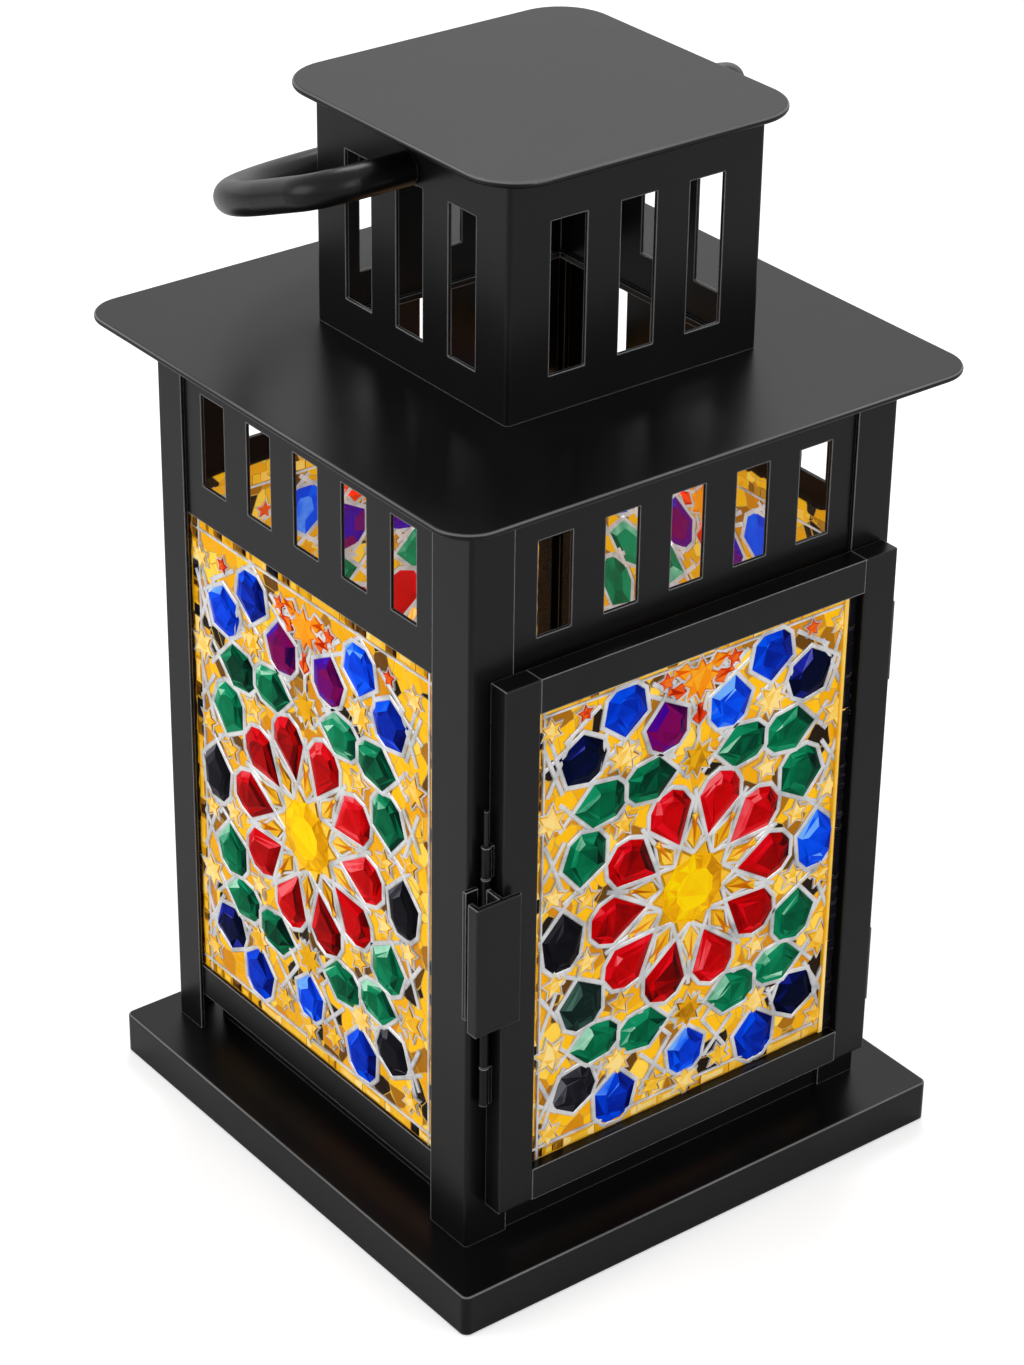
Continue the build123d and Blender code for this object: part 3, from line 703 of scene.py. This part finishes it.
def paint_facet_light_and_glow(made, rng):
    """Gives each facet its tone, with painted light and shade on the slanting facets, and each face the
    strength of its painted glow, which stands in for the light that comes through it.
    """
    for name in ("tone", "painted_glow"):
        made.data.attributes.new(name, "FLOAT", "FACE")
    tone, painted_glow, depth = (made.data.attributes[name] for name in ("tone", "painted_glow", "depth"))
    slots = [slot.name for slot in made.data.materials]

    def place_of(face):
        return (face.material_index, *face.center, *face.normal)

    # Drawn in the order of their places, because the modelling leaves the faces in any order
    for face in sorted(made.data.polygons, key=place_of):
        pale = slots[face.material_index] in pale_topped
        metal = slots[face.material_index] == silver.name
        chips = slots[face.material_index] == ground.name
        normal = face.normal
        lean = math.hypot(normal.x, normal.y)
        if normal.z < -0.5 and face.center.z < -0.3 * MM:
            # A back, seen from inside the lantern with the light behind it: a random tone, and a painted
            # glow in place of that light
            tone.data[face.index].value = rng.uniform(0.35, 0.9)
            painted_glow.data[face.index].value = 0.5 if metal else 0.75
            continue
        if lean < 0.12:
            value = rng.uniform(0.55, 1.0) if pale else rng.uniform(0.28, 0.46)
        else:
            # Painted light and shade: slanting facets are painted brightest towards the upper left, and
            # again below
            sky = max(0.0, (-0.64 * normal.x + 0.77 * normal.y) / lean)
            under = max(0.0, (-0.17 * normal.x - 0.98 * normal.y) / lean)
            value = 0.18 + 0.58 * sky ** 1.5 + 0.4 * under ** 2 + rng.uniform(-0.2, 0.22)
        tone.data[face.index].value = min(max(value + depth.data[face.index].value, 0.0), 1.0)
        # Painted glow on the front: none on the cames, more on the gold chips than on the stones
        painted_glow.data[face.index].value = 0.0 if metal else 0.3 if chips else 0.18


def facing(right, outward, at):
    """Panel axes to the lantern: u along right, v up, normal outward, seated at a point."""
    right, outward, up = Vector(right), Vector(outward), Vector((0, 0, 1))
    turn = Matrix((right, up, outward)).transposed().to_4x4()
    return Matrix.Translation(Vector(at) * MM) @ turn


side_window, rosette_z = (-63.1, 72.4), 94.6
panel("door_mosaic", 99.8, (-62.5, 67.1), (0.7, -0.7),
      facing((1, 0, 0), (0, -1, 0), (1.5, -66.125, rosette_z)), "door", door=True)
panel("left_mosaic", 103.6, side_window, (-2.6, 1.6),
      facing((0, -1, 0), (-1, 0, 0), (-62.3, 3.375, rosette_z)), "left")
panel("right_mosaic", 103.6, side_window, (0.0, 0.0),
      facing((0, 1, 0), (1, 0, 0), (62.3, 3.375, rosette_z)), "right")
panel("back_mosaic", 107.6, side_window, (0.0, 0.0),
      facing((-1, 0, 0), (0, 1, 0), (0.0, 63.675, rosette_z)), "back")
for master in (cut_gem, rose_gem, petal_gem, kite_gem, heart_star, heart_core, eight_star, six_star,
               five_star, came_bar):
    bpy.data.objects.remove(master)


# Studio, in metres

clear_selection()
bpy.ops.mesh.primitive_grid_add(x_subdivisions=4, y_subdivisions=4, size=9.0, location=(0, 0, -0.0005))
bpy.ops.object.transform_apply(location=True)
floor = bpy.context.object
floor.name = "studio_floor"
paper, tree, shader, place = finish("white_paper")
shade = ramp(tree, grain(tree, place, scale=3.0), [(0.3, (0.90, 0.90, 0.90)), (0.7, (0.92, 0.92, 0.92))])
tree.links.new(shade, shader.inputs["Base Color"])
shader.inputs["Roughness"].default_value = 0.85
shader.inputs["Specular IOR Level"].default_value = 0.1
seen_white = reckon(tree, "MULTIPLY", node(tree, "LightPath").outputs["Is Camera Ray"], 0.46)
tree.links.new(seen_white, shader.inputs["Emission Strength"])
floor.data.materials.append(paper)

# The room lights the lantern at less than half of the white that is seen in it, in steel and in glass
world = bpy.data.worlds.new("studio")
scene.world = world
world.use_nodes = True
tree = world.node_tree
tree.nodes.clear()
rays = node(tree, "LightPath").outputs
direct = reckon(tree, "MAXIMUM", rays["Is Camera Ray"], rays["Is Transmission Ray"])
seen = reckon(tree, "MAXIMUM", direct, rays["Is Glossy Ray"])
mix = node(tree, "MixShader")
tree.links.new(seen, mix.inputs[0])
for socket, strength in ((1, 0.45), (2, 1.0)):
    white = node(tree, "Background")
    white.inputs["Color"].default_value = (1.0, 1.0, 1.0, 1.0)
    white.inputs["Strength"].default_value = strength
    tree.links.new(white.outputs[0], mix.inputs[socket])
tree.links.new(mix.outputs[0], node(tree, "OutputWorld").inputs["Surface"])


def softbox(name, at, aim, size, power):
    lamp = bpy.data.lights.new(name, "AREA")
    lamp.shape = "RECTANGLE"
    lamp.size, lamp.size_y = size
    lamp.energy = power
    made = bpy.data.objects.new(name, lamp)
    made.location = at
    made.rotation_euler = (Vector(aim) - Vector(at)).to_track_quat("-Z", "Y").to_euler()
    scene.collection.objects.link(made)


softbox("left", at=(-1.1, 0.25, 0.6), aim=(0, 0, 0.12), size=(0.9, 0.7), power=6.2)
softbox("front", at=(0.3, -1.2, 0.7), aim=(0, 0, 0.12), size=(0.9, 0.7), power=5.2)
softbox("overhead", at=(0.5, 0.55, 1.1), aim=(0, 0, 0.2), size=(0.5, 0.5), power=4.0)

camera = bpy.data.cameras.new("camera")
camera.sensor_fit = "VERTICAL"
camera.sensor_height = 36.0
camera.lens = 99.36
viewer = bpy.data.objects.new("camera", camera)
azimuth, elevation, roll = (math.radians(a) for a in (-37.933, 29.574, 0.831))
aim_height, aside, distance = 0.122192, 0.002494, 0.95608
back = Vector((math.sin(azimuth) * math.cos(elevation), -math.cos(azimuth) * math.cos(elevation),
               math.sin(elevation)))
right = (-back).cross(Vector((0, 0, 1))).normalized()
up = right.cross(-back)
across = math.cos(roll) * right + math.sin(roll) * up
upward = -math.sin(roll) * right + math.cos(roll) * up
spot = Vector((0, 0, aim_height)) - aside * right + distance * back
viewer.matrix_world = Matrix.Translation(spot) @ Matrix((across, upward, back)).transposed().to_4x4()
scene.collection.objects.link(viewer)
scene.camera = viewer
